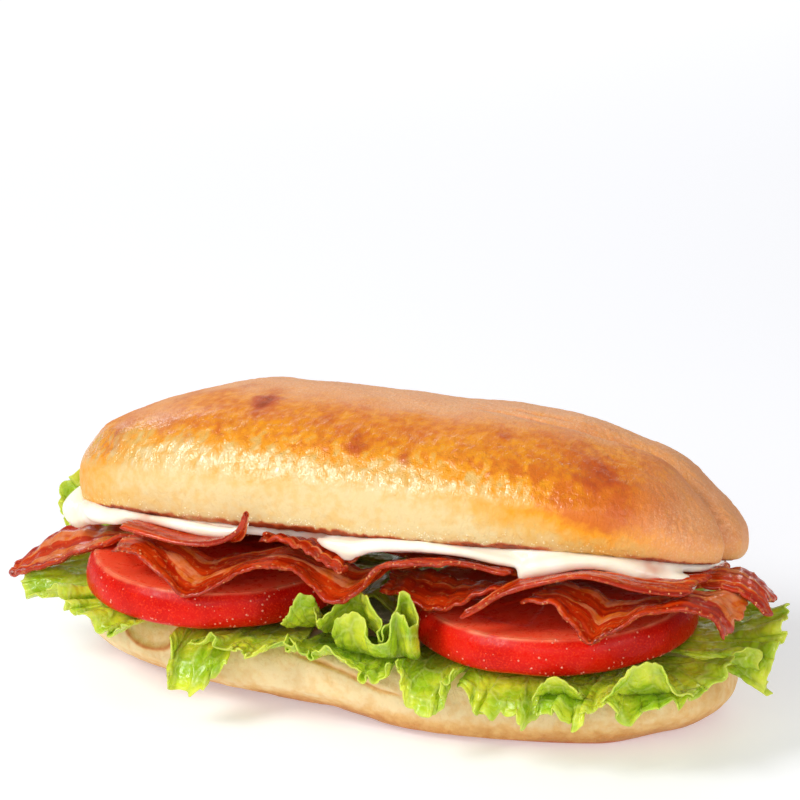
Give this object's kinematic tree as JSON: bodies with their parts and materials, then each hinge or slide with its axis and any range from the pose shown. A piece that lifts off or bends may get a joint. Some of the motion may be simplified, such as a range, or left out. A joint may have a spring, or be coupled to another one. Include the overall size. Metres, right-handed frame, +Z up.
{
  "type": "blt sandwich",
  "caption": "Long soft roll filled with ruffled lettuce, thick tomato slices, wavy fried bacon strips and mayonnaise, with its top half tipped back.",
  "frame": {"origin": "centre of the flat base of the lower half of the roll, which the sandwich rests on", "axes": "+X along the roll, +Z up, and the open, well filled long side faces -Y"},
  "size_m": [0.2202, 0.1043, 0.0822],
  "materials": {
    "golden_crust": "baked amber crust with a soft gloss",
    "pale_crust": "pale floury crust",
    "lettuce_leaf": "fresh green leaf with pale veins",
    "tomato_flesh": "wet red skin and flesh",
    "fried_bacon": "greasy red-brown meat with pinkish fat stripes",
    "mayonnaise_spread": "glossy ivory cream"
  },
  "bodies": {
    "root": {"bread_heel": "pale_crust", "bread_crown": "golden_crust", "tomato_slice_left": "tomato_flesh", "tomato_slice_right": "tomato_flesh", "bacon_wave_front": "fried_bacon", "bacon_left_end": "fried_bacon", "bacon_left_upper": "fried_bacon", "bacon_middle_upper": "fried_bacon", "bacon_middle_lower": "fried_bacon", "bacon_right_upper": "fried_bacon", "bacon_right_wave": "fried_bacon", "bacon_right_end": "fried_bacon", "bacon_inner": "fried_bacon", "bacon_back_left": "fried_bacon", "bacon_back_right": "fried_bacon", "mayonnaise": "mayonnaise_spread", "lettuce_bed": "lettuce_leaf", "lettuce_left_end": "lettuce_leaf", "lettuce_left_front": "lettuce_leaf", "lettuce_left_fold": "lettuce_leaf", "lettuce_middle_upper": "lettuce_leaf", "lettuce_middle_lower": "lettuce_leaf", "lettuce_middle_right": "lettuce_leaf", "lettuce_right_front": "lettuce_leaf", "lettuce_right_corner": "lettuce_leaf", "lettuce_right_end": "lettuce_leaf", "lettuce_left_back": "lettuce_leaf", "lettuce_back_left": "lettuce_leaf", "lettuce_back_right": "lettuce_leaf"}
  },
  "joints": []
}
